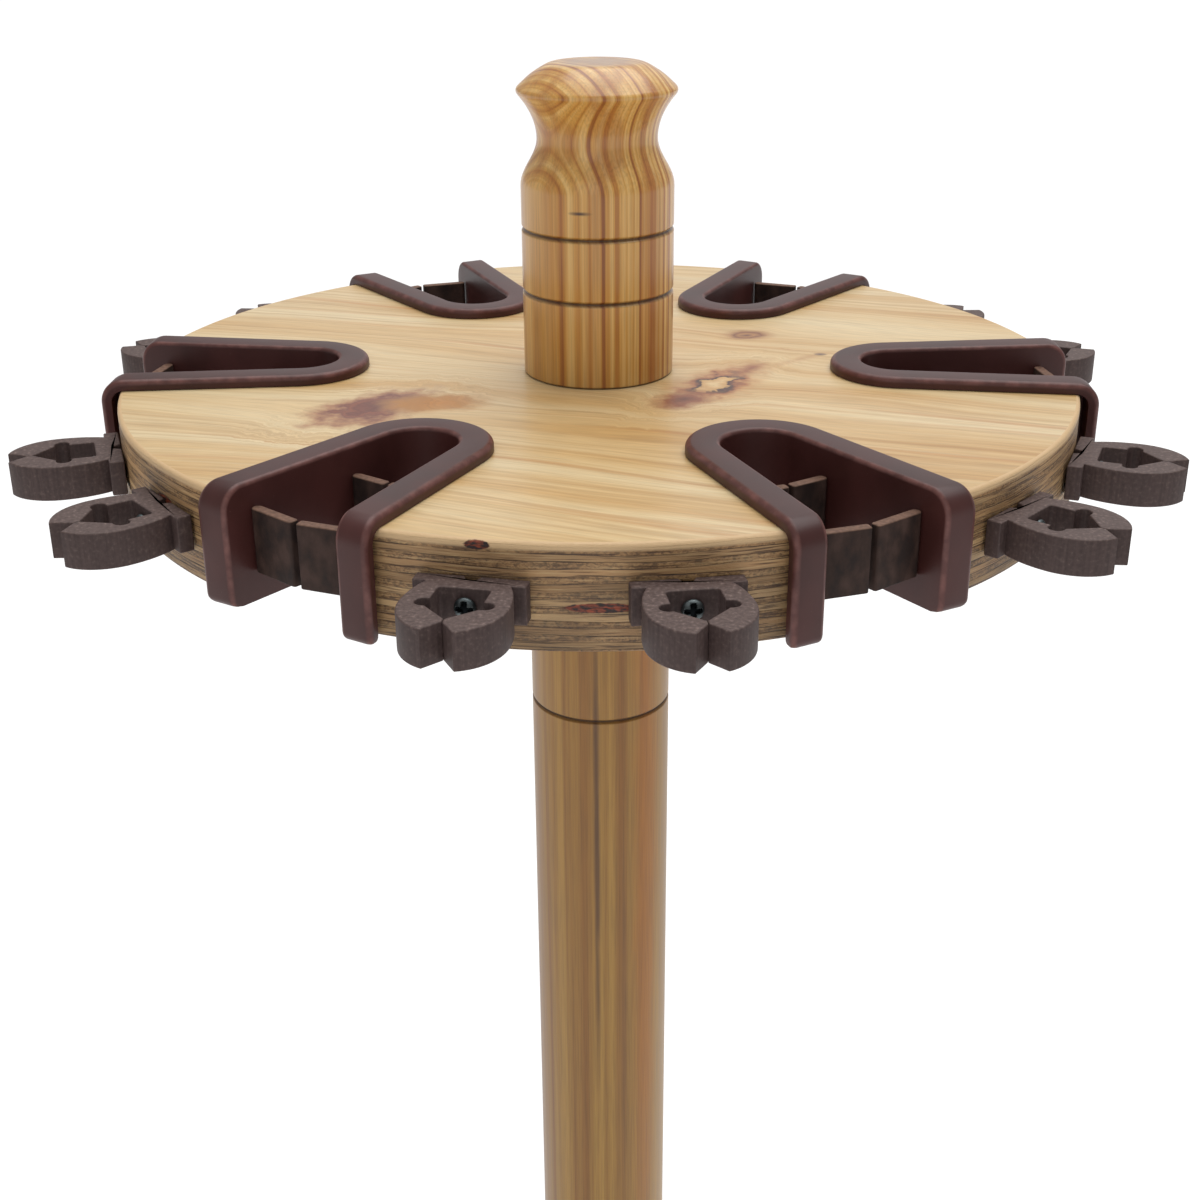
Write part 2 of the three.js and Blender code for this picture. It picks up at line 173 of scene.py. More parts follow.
def drawn_in(outline, inset):
    """The closed outline with each point moved inwards: p - inset (n + m) / (1 + n.m), where n and m are
    the outward normals of the two sides that meet there."""
    side = np.roll(outline, -1, 0) - outline
    side /= np.linalg.norm(side, axis=1)[:, None]
    after = np.stack([side[:, 1], -side[:, 0]], -1)
    before = np.roll(after, 1, 0)
    return outline - inset * (before + after) / (1.0 + (before * after).sum(1))[:, None]


def soft_rows(low, high, edge, steps=EDGE_STEPS):
    """(inset, height) pairs of a wall from low to high, with quarter circles of radius edge at both ends."""
    a = np.linspace(0, math.pi / 2, steps + 1)
    rise = np.stack([edge * (1 - np.sin(a)), edge * (1 - np.cos(a))], -1)
    return np.concatenate([rise + [0, low], [1, -1] * rise[::-1] + [0, high]])


def slab(outline, rows):
    """The outline stacked up: row i is the outline drawn in by rows[i][0], at height rows[i][1]."""
    return np.stack([np.column_stack([drawn_in(outline, d), np.full(len(outline), z)]) for d, z in rows])


def lathe(profile, faces):
    """Each profile point (r, z) carried round the axis: (r cos a, r sin a, z)."""
    a = np.linspace(0, 2 * math.pi, faces, endpoint=False)
    r, z = np.asarray(profile, float).T
    return np.stack([r[:, None] * np.cos(a), r[:, None] * np.sin(a), np.repeat(z[:, None], faces, 1)], -1)


def piece(name, grid, finishes, body, nodes, wear_and_painted_light_per_point=None, crease=32):
    """Makes a closed mesh from a grid of points in millimetres whose rows are closed loops: quads join
    neighbouring rows, and one flat face closes each end. finishes are the wall's material and, where it
    differs, the ends'."""
    rows, columns = grid.shape[:2]
    i, j = np.arange(rows - 1)[:, None], np.arange(columns)[None, :]
    k = (j + 1) % columns
    quads = np.stack([i * columns + j, i * columns + k, (i + 1) * columns + k, (i + 1) * columns + j], -1)
    ends = [list(range(columns))[::-1], list(range((rows - 1) * columns, rows * columns))]
    mesh = bpy.data.meshes.new(name)
    mesh.from_pydata((grid.reshape(-1, 3) * MM).tolist(), [], quads.reshape(-1, 4).tolist() + ends)
    solid = bmesh.new()
    solid.from_mesh(mesh)
    inside_out = solid.calc_volume(signed=True) < 0
    solid.free()
    if inside_out:
        mesh.flip_normals()
    mesh.shade_smooth()
    mesh.set_sharp_from_angle(angle=math.radians(crease))
    for finish in finishes:
        mesh.materials.append(finish)
    for end in list(mesh.polygons)[-2:]:
        end.use_smooth = False
        end.material_index = len(finishes) - 1
    # One value per point: rubbing on the flaps, painted shade on the turned wood and screws, and painted
    # highlight along with rubs and saw cuts on the mouldings and clips.
    wear_and_painted_light = mesh.attributes.new("wear_and_painted_light", "FLOAT", "POINT")
    amount = np.zeros(rows * columns) if wear_and_painted_light_per_point is None else np.broadcast_to(wear_and_painted_light_per_point, (rows, columns)).reshape(-1)
    wear_and_painted_light.data.foreach_set("value", amount.astype(np.float32))
    made = bpy.data.objects.new(name, mesh)
    bpy.context.scene.collection.objects.link(made)
    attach(made, body)
    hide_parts(*nodes)


# ---- Materials ----


def linear(code, alpha=1.0):
    """An sRGB hex colour as the linear values that a shader takes."""
    c = np.array([int(code[i : i + 2], 16) for i in (0, 2, 4)]) / 255
    c = np.where(c <= 0.04045, c / 12.92, ((c + 0.055) / 1.055) ** 2.4)
    return (*c.tolist(), alpha)


def add(tree, kind, inputs=None, out=0, stops=None, **settings):
    """Adds one node and gives one of its outputs, or several where out is a tuple. inputs are its sockets'
    values or the outputs that feed them, settings its properties, and stops the places and colours or
    values of a ramp."""
    made = tree.nodes.new("ShaderNode" + kind)
    for key, value in settings.items():
        setattr(made, key, value)
    for key, value in (inputs or {}).items():
        if isinstance(value, bpy.types.NodeSocket):
            tree.links.new(value, made.inputs[key])
        else:
            made.inputs[key].default_value = value
    if stops:
        elements = made.color_ramp.elements
        while len(elements) < len(stops):
            elements.new(1.0)
        for element, (place, colour) in zip(elements, stops):
            element.position = place
            if isinstance(colour, tuple):
                element.color = linear(*colour)
            else:
                element.color = linear(colour) if isinstance(colour, str) else (colour, colour, colour, 1.0)
    return [made.outputs[name] for name in out] if isinstance(out, tuple) else made.outputs[out]


def new_finish(name, **principled):
    """A material, what adds nodes to it, and its one Principled shader, whose constants are set here."""
    finish = bpy.data.materials.new(name)
    finish.use_nodes = True
    shader = finish.node_tree.nodes["Principled BSDF"]
    for key, value in principled.items():
        shader.inputs[key.replace("_", " ").title().replace("Ior", "IOR")].default_value = value
    return finish, partial(add, finish.node_tree), shader


def bring(finish, shader, colour, roughness, relief):
    """Links a finish's colour, roughness and relief to its shader."""
    links = finish.node_tree.links
    links.new(colour, shader.inputs["Base Color"])
    links.new(roughness, shader.inputs["Roughness"])
    links.new(relief, shader.inputs["Normal"])


def figure(node, place, size, detail=2.0, distortion=0.0):
    """A soft random pattern from 0 to 1 whose marks measure about size, three lengths in millimetres."""
    scaled = node("Mapping", {"Vector": place, "Scale": tuple(1 / s for s in size)})
    settings = {"Vector": scaled, "Scale": 1.0, "Detail": detail, "Distortion": distortion}
    return node("TexNoise", settings, "Fac")


def part_place(node, turn=0.0):
    """The part's own coordinates in millimetres, turned about Z."""
    place = node("TexCoord", out="Object")
    return node("Mapping", {"Vector": place, "Rotation": (0, 0, turn), "Scale": (1 / MM,) * 3})


def spot(node, place, centre, turn, half_lengths, raggedness, noise):
    """Distance from the middle of an oval mark, 1 at its edge, made ragged by noise.

    With d the length of the place measured in half lengths, this is d + raggedness (noise - 1/2)."""
    settings = {"Vector": place, "Location": centre, "Rotation": (0, 0, turn), "Scale": half_lengths}
    local = node("Mapping", settings, vector_type="TEXTURE")
    distance = node("VectorMath", {0: local}, "Value", operation="LENGTH")
    inward = node("Math", {0: distance, 1: raggedness / 2}, operation="SUBTRACT")
    return node("Math", {0: noise, 1: raggedness, 2: inward}, operation="MULTIPLY_ADD")


RGB = {"out": 2, "data_type": "RGBA"}  # a mix of colours

PINE_GRAIN = math.radians(-15)  # the face veneer's grain, measured from +X
PINE_MARK_DEPTH = 9.0  # so that the marks stay in the disc's top veneer
BENDING_WIDTH = 8.0  # narrower marks don't part the growth lines
# Knots and stains in the face veneer: middle, turn in degrees, half lengths, raggedness, and the colour and
# cover from the middle outwards.
PINE_MARKS = (
    (
        (-84, -54),
        48,
        (32, 18),
        1.1,
        (
            (0.0, ("7e4028", 1.0)),
            (0.24, ("6c3220", 1.0)),
            (0.38, ("88492d", 1.0)),
            (0.52, ("743825", 0.98)),
            (0.72, ("9b5c38", 0.75)),
            (1.15, ("b98f62", 0.0)),
        ),
    ),
    (
        (-61, -48),
        12,
        (23, 13),
        0.6,
        ((0.0, ("b67412", 1.0)), (0.6, ("b47a2c", 0.92)), (1.1, ("c0935a", 0.0))),
    ),
    (
        (47, -21),
        58,
        (34, 16),
        0.95,
        (
            (0.0, ("e0c18c", 1.0)),
            (0.3, ("cfa164", 1.0)),
            (0.36, ("33150b", 1.0)),
            (0.42, ("5c2a16", 1.0)),
            (0.54, ("a5602c", 0.9)),
            (0.78, ("c08a50", 0.5)),
            (1.2, ("c59c68", 0.0)),
        ),
    ),
    (
        (34, -42),
        40,
        (17, 11),
        0.9,
        ((0.0, ("65290f", 1.0)), (0.5, ("8f4c26", 0.95)), (1.05, ("b37a42", 0.0))),
    ),
    ((62, 1), 60, (16, 6), 0.9, ((0.0, ("8f4f28", 0.9)), (0.5, ("a86f42", 0.6)), (1.1, ("c59c68", 0.0)))),
    ((82, 14), 42, (30, 4), 0.9, ((0.0, ("b48050", 0.5)), (1.0, ("c59c68", 0.0)))),
    (
        (63, 52),
        10,
        (12, 9),
        0.5,
        (
            (0.0, ("6a391b", 1.0)),
            (0.28, ("a8743f", 0.95)),
            (0.5, ("79421f", 0.95)),
            (0.72, ("a36c3a", 0.6)),
            (1.2, ("c59c68", 0.0)),
        ),
    ),
    ((92, 22), 0, (3.4, 2.6), 0.3, ((0.0, ("5f4738", 1.0)), (0.6, ("86674a", 0.8)), (1.0, ("c59c68", 0.0)))),
)


def pine_veneer():
    """Knotty pine face veneer, sliced, sanded and clear lacquered: straw and amber bands 15 to 40 mm wide,
    fine darker growth lines, a few orange streaks, and brown knots that the lines bend round."""
    finish, node, shader = new_finish("lacquered_pine_veneer", coat_weight=0.12, coat_roughness=0.2)
    flat = part_place(node)
    grain = part_place(node, -PINE_GRAIN)
    ragged = figure(node, flat, (7, 7, 7), 4.0)
    along, level, height = node("SeparateXYZ", {0: grain}, out=("X", "Y", "Z"))
    sway = figure(node, grain, (170, 60, 60), 1.5)
    across = node("Math", {0: sway, 1: 34.0, 2: level}, operation="MULTIPLY_ADD")
    marks = []
    for (x, y), turn, (length, width), raggedness, stops in PINE_MARKS:
        middle = (x, y, DISC_TOP)
        half_lengths = (length, width, PINE_MARK_DEPTH)
        distance = spot(node, flat, middle, math.radians(turn), half_lengths, raggedness, ragged)
        marks.append((distance, stops))
        if width < BENDING_WIDTH:
            continue
        # The growth lines part in front of a knot and close behind it.
        v = x * math.sin(-PINE_GRAIN) + y * math.cos(PINE_GRAIN)
        near = {"Value": distance, "From Min": 1.9, "From Max": 0.3, "To Min": 0.0, "To Max": 0.5}
        pull = node("MapRange", near, interpolation_type="SMOOTHSTEP")
        offset = node("Math", {0: level, 1: v}, operation="SUBTRACT")
        shift = node("Math", {0: offset, 1: pull}, operation="MULTIPLY")
        across = node("Math", {0: across, 1: shift}, operation="SUBTRACT")
    lines = node("CombineXYZ", {0: along, 1: across, 2: height})
    tone = figure(node, lines, (330, 24, 80), 1.0)
    growth = figure(node, lines, (260, 3.2, 80), 3.5, 0.15)
    fibre = figure(node, lines, (26, 0.55, 80))
    colour = node("ValToRGB", {0: tone}, stops=[(0.3, "dec79b"), (0.5, "d6b682"), (0.68, "caa166")])
    dark = node("ValToRGB", {0: growth}, stops=[(0.5, 0.0), (0.7, 0.4)])
    colour = node("Mix", {0: dark, 6: colour, 7: linear("a06f38")}, **RGB)
    pale = node("ValToRGB", {0: growth}, stops=[(0.3, 0.26), (0.46, 0.0)])
    colour = node("Mix", {0: pale, 6: colour, 7: linear("e8d5aa")}, **RGB)
    resin = figure(node, lines, (300, 7, 80))
    streak = node("ValToRGB", {0: resin}, stops=[(0.58, 0.0), (0.7, 0.48)])
    colour = node("Mix", {0: streak, 6: colour, 7: linear("b4702a")}, **RGB)
    smear = figure(node, lines, (16, 1.6, 80), 3.0)
    for distance, stops in marks:
        reach = node("Math", {0: distance, 1: 2.0}, operation="DIVIDE")
        halved = [(place / 2, colour_and_cover) for place, colour_and_cover in stops]
        mark, cover = node("ValToRGB", {0: reach}, out=("Color", "Alpha"), stops=halved)
        colour = node("Mix", {0: cover, 6: colour, 7: mark}, **RGB)
    # Broken fibres lift the knots' colour in short streaks along the grain.
    shade = node("ValToRGB", {0: smear}, stops=[(0.34, 0.9), (0.6, 1.0)])
    colour = node("Mix", {0: 1.0, 6: colour, 7: shade}, blend_type="MULTIPLY", **RGB)
    shade = node("ValToRGB", {0: fibre}, stops=[(0.3, 0.86), (0.6, 1.0)])
    colour = node("Mix", {0: 1.0, 6: colour, 7: shade}, blend_type="MULTIPLY", **RGB)
    gloss = node("MapRange", {"Value": growth, "To Min": 0.36, "To Max": 0.5})
    relief = node("Bump", {"Height": fibre, "Strength": 0.12, "Distance": 0.0004})
    bring(finish, shader, colour, gloss, relief)
    return finish


PLY = 37.0 / 15  # fifteen plies in the disc
# Gaps in the inner plies, filled with reddish dirt and darkened by painted shade: angle on the rim, height
# below the top face, half length and half height.
PLY_VOIDS = (
    (-88.0, 21.5, 12.0, 1.7),
    (-99.6, 1.6, 4.2, 1.5),
    (-38.0, 17.5, 9.0, 1.4),
    (-141.0, 12.5, 6.0, 1.3),
    (-119.0, 18.0, 8.0, 1.1),
    (20.0, 27.0, 11.0, 1.5),
    (75.0, 20.0, 8.0, 1.4),
    (163.0, 15.0, 9.0, 1.4),
)


def ply_edge(name, top, voids):
    """The sawn and sanded edge of pine plywood: plies 2.5 mm thick that show long grain and end grain by
    turns, thin dark glue lines between them, saw checks, a pale face ply along the rounded top edge that
    also serves as painted highlight, a few reddish gaps in the inner plies with painted shade in them, and
    painted shade that darkens the edge towards its bottom."""
    finish, node, shader = new_finish(name, coat_weight=0.08, coat_roughness=0.4)
    place = part_place(node)
    height = node("SeparateXYZ", {0: place}, "Z")
    wander = figure(node, place, (30, 30, 7), 3.0)
    down = node("Math", {0: top, 1: height}, operation="SUBTRACT")
    depth = node("Math", {0: down, 1: PLY}, operation="DIVIDE")
    depth = node("Math", {0: wander, 1: 0.95, 2: depth}, operation="MULTIPLY_ADD")
    number = node("Math", {0: depth}, operation="FLOOR")
    within = node("Math", {0: depth}, operation="FRACT")
    end_grain = node("Math", {0: number, 1: 1.0}, operation="PINGPONG")
    chance = node("TexWhiteNoise", {"W": number}, "Value", noise_dimensions="1D")
    long_fibre = figure(node, place, (16, 16, 0.55), 3.0, 0.3)
    pores = figure(node, place, (1.5, 1.5, 0.9), 3.0, 0.9)
    tint = [(0.0, "b38b5e"), (0.35, "9b764a"), (0.7, "c29e70"), (1.0, "8f6a42")]
    colour = node("ValToRGB", {0: chance}, stops=tint)
    cross = node("ValToRGB", {0: pores}, stops=[(0.38, "3c2817"), (0.47, "7d5a38"), (0.64, "a88154")])
    cover = node("Math", {0: end_grain, 1: 0.7}, operation="MULTIPLY")
    colour = node("Mix", {0: cover, 6: colour, 7: cross}, **RGB)
    fibre_dark = node("ValToRGB", {0: long_fibre}, stops=[(0.36, 0.8), (0.46, 0.0)])
    colour = node("Mix", {0: fibre_dark, 6: colour, 7: linear("442b19")}, **RGB)
    fibre_pale = node("ValToRGB", {0: long_fibre}, stops=[(0.54, 0.0), (0.68, 0.55)])
    colour = node("Mix", {0: fibre_pale, 6: colour, 7: linear("cbab7b")}, **RGB)
    patches = figure(node, place, (26, 26, 8), 2.0)
    shade = node("ValToRGB", {0: patches}, stops=[(0.34, 0.7), (0.58, 1.0)])
    colour = node("Mix", {0: 1.0, 6: colour, 7: shade}, blend_type="MULTIPLY", **RGB)
    # Painted shade: the edge darkens from 12 mm below the top down to 0.7 at 37 mm.
    low = node("MapRange", {"Value": down, "From Min": 12.0, "From Max": 37.0, "To Min": 1.0, "To Max": 0.7})
    colour = node("Mix", {0: 1.0, 6: colour, 7: low}, blend_type="MULTIPLY", **RGB)
    broken = figure(node, place, (14, 14, 2.2))
    line = node("ValToRGB", {0: within}, stops=[(0.0, 1.0), (0.1, 0.0), (0.9, 0.0), (1.0, 1.0)])
    some = node("ValToRGB", {0: broken}, stops=[(0.4, 0.25), (0.56, 1.0)])
    glue = node("Math", {0: line, 1: some}, operation="MULTIPLY")
    colour = node("Mix", {0: glue, 6: colour, 7: linear("2a190d")}, **RGB)
    # Pale face ply along the top edge, lightened further as a painted highlight.
    pale_face_ply_and_highlight = node("MapRange", {"Value": down, "From Min": 2.9, "From Max": 1.9})
    colour = node("Mix", {0: pale_face_ply_and_highlight, 6: colour, 7: linear("cfae82")}, **RGB)
    ragged = figure(node, place, (2.5, 2.5, 1.0), 3.0)
    for angle, below, half_length, half_height in voids:
        a = math.radians(angle)
        middle = (DISC_RADIUS * math.cos(a), DISC_RADIUS * math.sin(a), top - below)
        distance = spot(node, place, middle, a + math.pi / 2, (half_length, 6.0, half_height), 0.5, ragged)
        half = node("Math", {0: distance, 1: 2.0}, operation="DIVIDE")
        gap = node("ValToRGB", {0: half}, stops=[(0.45, 1.0), (0.52, 0.0)])
        # Reddish dirt in the gaps, with painted shade in their darkest parts.
        gap_dirt_and_shade = node("ValToRGB", {0: ragged}, stops=[(0.42, "1f0c08"), (0.62, "8a3a1a")])
        colour = node("Mix", {0: gap, 6: colour, 7: gap_dirt_and_shade}, **RGB)
    gloss = node("MapRange", {"Value": pores, "To Min": 0.5, "To Max": 0.7})
    rough_edge = node("Math", {0: long_fibre, 1: pores}, operation="ADD")
    rough_edge = node("Math", {0: rough_edge, 1: line}, operation="SUBTRACT")
    relief = node("Bump", {"Height": rough_edge, "Strength": 0.4, "Distance": 0.0006})
    bring(finish, shader, colour, gloss, relief)
    return finish


def turned_wood(name, ring_turn, ring, ring_colours, streak, contrast, coat, marks=()):
    """Wood turned on a lathe and lacquered. Its growth rings are nearly flat sheets of uneven thickness cut
    by the round surface, so they show as loops where the surface lies along them and as tight stripes a
    quarter turn away. The piece's attribute paints shade into the grooves, and at the knob's foot."""
    finish, node, shader = new_finish(name, coat_weight=coat, coat_roughness=0.16)
    place = part_place(node, -ring_turn)
    rings = figure(node, place, (ring, 190, 900), 3.5)
    colour = node("ValToRGB", {0: rings}, stops=ring_colours)
    tone = figure(node, place, (9, 9, 300), 1.5)
    tone_dark = node("ValToRGB", {0: tone}, stops=[(0.45, 0.0), (0.66, contrast)])
    colour = node("Mix", {0: tone_dark, 6: colour, 7: linear(streak)}, **RGB)
    flat = part_place(node)
    ragged = figure(node, flat, (6, 6, 40), 2.0)
    for middle, half_lengths, shade, cover in marks:
        distance = spot(node, flat, middle, 0.0, half_lengths, 0.8, ragged)
        there = node("MapRange", {"Value": distance, "From Min": 1.0, "From Max": 0.3, "To Max": cover})
        colour = node("Mix", {0: there, 6: colour, 7: linear(shade)}, **RGB)
    fibre = figure(node, place, (0.7, 0.7, 30), 2.5)
    shade = node("ValToRGB", {0: fibre}, stops=[(0.34, 0.82), (0.58, 1.0)])
    colour = node("Mix", {0: 1.0, 6: colour, 7: shade}, blend_type="MULTIPLY", **RGB)
    # Painted shade: the grooves, and the knob's foot where it stands on the disc, are darkened.
    painted_groove_shade = node("Attribute", out="Fac", attribute_name="wear_and_painted_light")
    colour = node("Mix", {0: painted_groove_shade, 6: colour, 7: linear("2c1712")}, **RGB)
    # Faint rings left by the turning tool, one every 0.8 mm so that they show.
    tool = figure(node, place, (90, 90, 0.8), 1.0)
    gloss = node("MapRange", {"Value": fibre, "To Min": 0.3, "To Max": 0.46})
    ridges = node("Math", {0: tool, 1: 0.4, 2: fibre}, operation="MULTIPLY_ADD")
    relief = node("Bump", {"Height": ridges, "Strength": 0.1, "Distance": 0.0004})
    bring(finish, shader, colour, gloss, relief)
    return finish


def moulded_nylon():
    """Injection moulded dark brown nylon: a satin skin with faint flow clouds, hardly any grain, and small
    pale rubs along its rounded edges that also serve as painted highlight there."""
    finish, node, shader = new_finish("moulded_brown_nylon", ior=1.53, specular_ior_level=0.3)
    place = part_place(node)
    clouds = figure(node, place, (26, 26, 40), 3.0)
    colour = node("ValToRGB", {0: clouds}, stops=[(0.35, "3b1d1a"), (0.65, "4a2724")])
    # Pale rubs along the rounded edges, partly painted highlight.
    wear_and_painted_light = node("Attribute", out="Fac", attribute_name="wear_and_painted_light")
    rubs = figure(node, place, (5, 5, 5), 4.0)
    rubbed = node("ValToRGB", {0: rubs}, stops=[(0.42, 0.2), (0.68, 0.55)])
    cover = node("Math", {0: wear_and_painted_light, 1: rubbed}, operation="MULTIPLY")
    colour = node("Mix", {0: cover, 6: colour, 7: linear("8e5f58")}, **RGB)
    grit = figure(node, place, (0.5, 0.5, 0.5))
    speck = node("ValToRGB", {0: grit}, stops=[(0.74, 0.0), (0.78, 0.3)])
    colour = node("Mix", {0: speck, 6: colour, 7: linear("8a716e")}, **RGB)
    gloss = node("MapRange", {"Value": clouds, "To Min": 0.36, "To Max": 0.46})
    relief = node("Bump", {"Height": grit, "Strength": 0.06, "Distance": 0.0002})
    bring(finish, shader, colour, gloss, relief)
    return finish


def cut_rubber():
    """Black-brown sheet rubber, cut to size: matt, with soft dusty smudges and thin, paler, nibbled
    edges."""
    finish, node, shader = new_finish("cut_brown_rubber", ior=1.5, specular_ior_level=0.25)
    place = part_place(node)
    smudge = figure(node, place, (6, 6, 9), 5.0)
    colour = node("ValToRGB", {0: smudge}, stops=[(0.36, "231714"), (0.5, "33231d"), (0.66, "42302a")])
    wear_and_painted_light = node("Attribute", out="Fac", attribute_name="wear_and_painted_light")
    nibbled = figure(node, place, (1.6, 1.6, 1.6), 3.0)
    cover = node("ValToRGB", {0: nibbled}, stops=[(0.35, 0.55), (0.65, 1.0)])
    cover = node("Math", {0: wear_and_painted_light, 1: cover}, operation="MULTIPLY")
    colour = node("Mix", {0: cover, 6: colour, 7: linear("7d5f4f")}, **RGB)
    gloss = node("MapRange", {"Value": smudge, "To Min": 0.6, "To Max": 0.78})
    relief = node("Bump", {"Height": nibbled, "Strength": 0.25, "Distance": 0.0003})
    bring(finish, shader, colour, gloss, relief)
    return finish


def sawn_clip_plastic():
    """Grey-brown plastic, extruded as a long bar and sawn into clips: matt skin with faint draw lines down
    the sides, and a paler, speckled saw cut on the ends, whose paleness on the top face and its edge is also
    painted highlight."""
    finish, node, shader = new_finish("extruded_clip_plastic", ior=1.5, specular_ior_level=0.25)
    place = part_place(node)
    draw = figure(node, place, (0.9, 0.9, 50))
    colour = node("ValToRGB", {0: draw}, stops=[(0.3, "352928"), (0.7, "483937")])
    wear_and_painted_light = node("Attribute", out="Fac", attribute_name="wear_and_painted_light")
    speckle = figure(node, place, (1.3, 1.3, 1.3), 4.0)
    # Pale saw cut on the ends, which on the top face and its rounded edge is also painted highlight.
    cut = node("ValToRGB", {0: speckle}, stops=[(0.3, "4a3b38"), (0.58, "5f4f4b"), (0.72, "7c6a64")])
    colour = node("Mix", {0: wear_and_painted_light, 6: colour, 7: cut}, **RGB)
    gloss = node("MapRange", {"Value": speckle, "To Min": 0.5, "To Max": 0.7})
    relief = node("Bump", {"Height": speckle, "Strength": 0.2, "Distance": 0.0002})
    bring(finish, shader, colour, gloss, relief)
    return finish


def zinc_steel():
    """Zinc-plated steel, cold headed or rolled: cool grey, dulled by handling, its recess darkened with
    painted shade."""
    finish, node, shader = new_finish("zinc_plated_steel", metallic=1.0)
    place = part_place(node)
    clouds = figure(node, place, (3, 3, 3), 3.0)
    colour = node("ValToRGB", {0: clouds}, stops=[(0.3, "4d5557"), (0.7, "747b7c")])
    # Painted shade in the cross recess.
    wear_and_painted_light = node("Attribute", out="Fac", attribute_name="wear_and_painted_light")
    colour = node("Mix", {0: wear_and_painted_light, 6: colour, 7: linear("15181a")}, **RGB)
    gloss = node("MapRange", {"Value": clouds, "To Min": 0.4, "To Max": 0.55})
    scratches = figure(node, place, (0.3, 0.3, 3), 1.0)
    relief = node("Bump", {"Height": scratches, "Strength": 0.1, "Distance": 0.0001})
    bring(finish, shader, colour, gloss, relief)
    return finish


VENEER = pine_veneer()
DISC_PLIES = ply_edge("pine_ply_edge", DISC_TOP, PLY_VOIDS)
BASE_PLIES = ply_edge("base_ply_edge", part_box("base_disc")[1].z / MM, ())
KNOB_WOOD = turned_wood(
    "turned_knob_wood",
    ring_turn=math.radians(-140),
    ring=2.2,
    ring_colours=[(0.34, "8f4f1c"), (0.41, "bd7f36"), (0.5, "d19c4c"), (0.62, "e6bc74")],
    streak="a8652a",
    contrast=0.55,
    coat=0.4,
    marks=[
        ((-6, -29.5, DISC_TOP + 68.3), (5, 4, 1.0), "3b2015", 0.95),  # a short dark check
        ((0, 0, DISC_TOP + 120), (20, 20, 1.2), "a07f66", 0.75),  # the top, greyed by hands
    ],
)
POST_WOOD = turned_wood(
    "turned_post_wood",
    ring_turn=math.radians(160),
    ring=4.0,
    ring_colours=[(0.34, "83561f"), (0.44, "92682b"), (0.55, "9c7432"), (0.68, "a67e3a")],
    streak="8c5f24",
    contrast=0.4,
    coat=0.04,
    marks=[
        ((-1, -30, 600), (1.7, 9, 170), "5a3a1c", 0.9),  # a long dark line
        ((21, -22, 560), (8, 11, 320), "a86b20", 0.75),  # orange heartwood
        ((11, -28, 500), (1.5, 8, 150), "7d5326", 0.7),  # a fainter line
        ((0, -30, 748), (46, 16, 34), "6b4820", 0.6),  # painted shadow under the disc
    ],
)
NYLON = moulded_nylon()
RUBBER = cut_rubber()
CLIP_PLASTIC = sawn_clip_plastic()
ZINC = zinc_steel()


# ---- Turned pieces ----


def rounded(corner, before, after, radius, steps=5):
    """A profile corner replaced by a curve that leaves one side radius before it and joins the other radius
    after: the parabola through those two points whose handles meet at the corner."""
    p, a, b = (np.array(v, float) for v in (corner, before, after))
    start = p + (a - p) / np.linalg.norm(a - p) * radius
    end = p + (b - p) / np.linalg.norm(b - p) * radius
    t = np.linspace(0, 1, steps + 1)[:, None]
    return (1 - t) ** 2 * start + 2 * t * (1 - t) * p + t**2 * end


def softened(points, radii):
    """A profile whose inner corners are rounded, each by its own radius."""
    corners = [rounded(points[i], points[i - 1], points[i + 1], radius) for i, radius in enumerate(radii, 1)]
    return np.concatenate([[points[0]], *corners, [points[-1]]])


def v_groove(radius, height):
    """A turned V groove, as profile points going up."""
    half = GROOVE_WIDTH / 2
    return [(radius, height - half), (radius - GROOVE_DEPTH, height), (radius, height + half)]


KNOB_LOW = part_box("knob")[0].z / MM
KNOB_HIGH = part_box("knob")[1].z / MM


def knob_profile():
    """The knob's side: a plain drum with two grooves, half a cosine in to the neck, a parabola out to the
    crown, and two flat cones up to the top."""
    t = np.linspace(0, 1, 14)[:, None]
    dip = KNOB_RADIUS - (KNOB_RADIUS - KNOB_NECK_RADIUS) / 2 * (1 - np.cos(math.pi * t))
    dip = np.concatenate([dip, KNOB_SHOULDER + (KNOB_NECK - KNOB_SHOULDER) * t], 1)
    flare = KNOB_NECK_RADIUS + (KNOB_CROWN_RADIUS - KNOB_NECK_RADIUS) * t**2
    flare = np.concatenate([flare, KNOB_NECK + (KNOB_CROWN - KNOB_NECK) * t], 1)
    drum = [(LATHE_END, KNOB_LOW), (KNOB_RADIUS, KNOB_LOW)]
    drum += v_groove(KNOB_RADIUS, KNOB_LOWER_GROOVE) + v_groove(KNOB_RADIUS, KNOB_UPPER_GROOVE)
    drum = softened(drum + [(KNOB_RADIUS, KNOB_SHOULDER)], [KNOB_EDGE] + 2 * GROOVE_ROUNDS)
    crown = [tuple(flare[-3]), (KNOB_CROWN_RADIUS, KNOB_CROWN), (KNOB_BROW_RADIUS, KNOB_BROW)]
    crown += [(KNOB_TOP_RADIUS, KNOB_HIGH), (LATHE_END / 2, KNOB_HIGH)]
    crown = softened(crown, KNOB_CROWN_ROUNDS)
    return np.concatenate([drum, dip[1:], flare[1:-2], crown[1:]])


GROOVE_SHADE = 0.95  # how dark the painted shade in a groove is
GROOVE_SHADE_REACH = 1.4  # from the groove's middle to where no painted shade shows


def painted_groove_shade(profile, grooves):
    """How much painted shade each point gets: most at the grooves' heights, falling evenly to none."""
    away = np.abs(profile[:, 1:] - np.array(grooves, float)).min(1, keepdims=True)
    return GROOVE_SHADE * np.clip(1 - away / GROOVE_SHADE_REACH, 0, 1)


knob_side = knob_profile()
